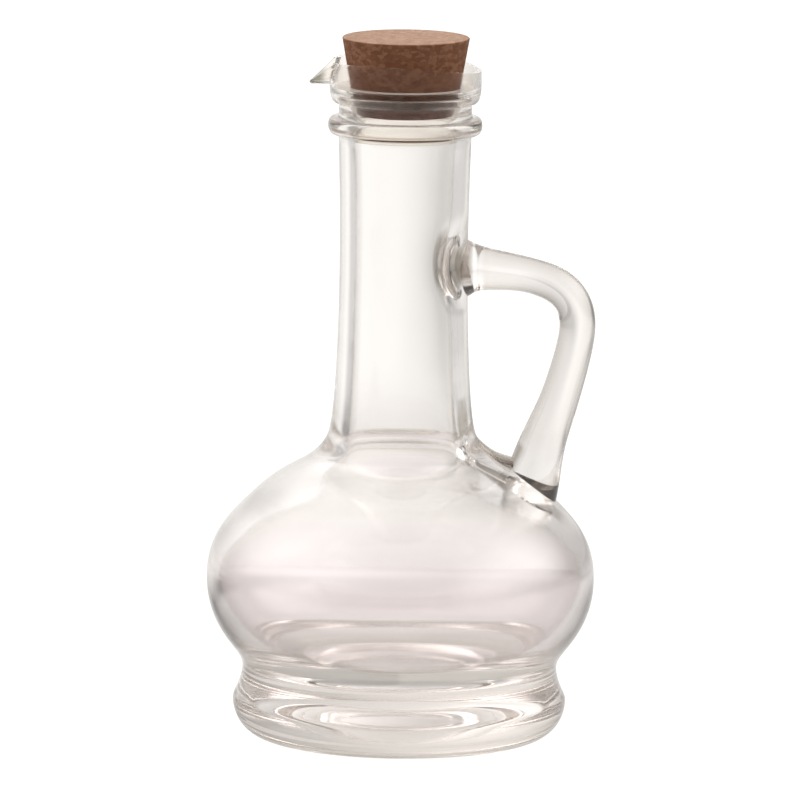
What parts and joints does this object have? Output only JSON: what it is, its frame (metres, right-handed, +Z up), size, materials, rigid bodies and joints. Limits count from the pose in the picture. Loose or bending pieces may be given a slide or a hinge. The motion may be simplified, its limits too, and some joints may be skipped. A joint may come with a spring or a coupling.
{
  "type": "oil cruet",
  "caption": "Clear glass oil cruet with a squat bulb on a foot, a long neck, a side handle, a soft beaked pourer and a tapered cork.",
  "frame": {"origin": "on the turning axis of the glass body, at the surface that its foot stands on", "axes": "+Z up along the turning axis, +X towards the handle, -X towards the pourer's beak"},
  "size_m": [0.0954, 0.0954, 0.1728],
  "materials": {
    "body_glass": "clear, polished",
    "handle_glass": "clear, polished",
    "pourer_plastic": "soft translucent plastic, satin",
    "cork": "pressed cork granules, matt"
  },
  "bodies": {
    "glass": {"glass_vessel": "body_glass", "glass_handle": "handle_glass"},
    "pourer_body": {"pourer": "pourer_plastic"},
    "stopper": {"cork_stopper": "cork"}
  },
  "joints": [
    {"name": "pourer_lift", "type": "slide", "parent": "glass", "child": "pourer_body", "axis": [0, 0, 1], "range_m": [0, 0.016]},
    {"name": "stopper_lift", "type": "slide", "parent": "pourer_body", "child": "stopper", "axis": [0, 0, 1], "range_m": [0, 0.022]}
  ]
}
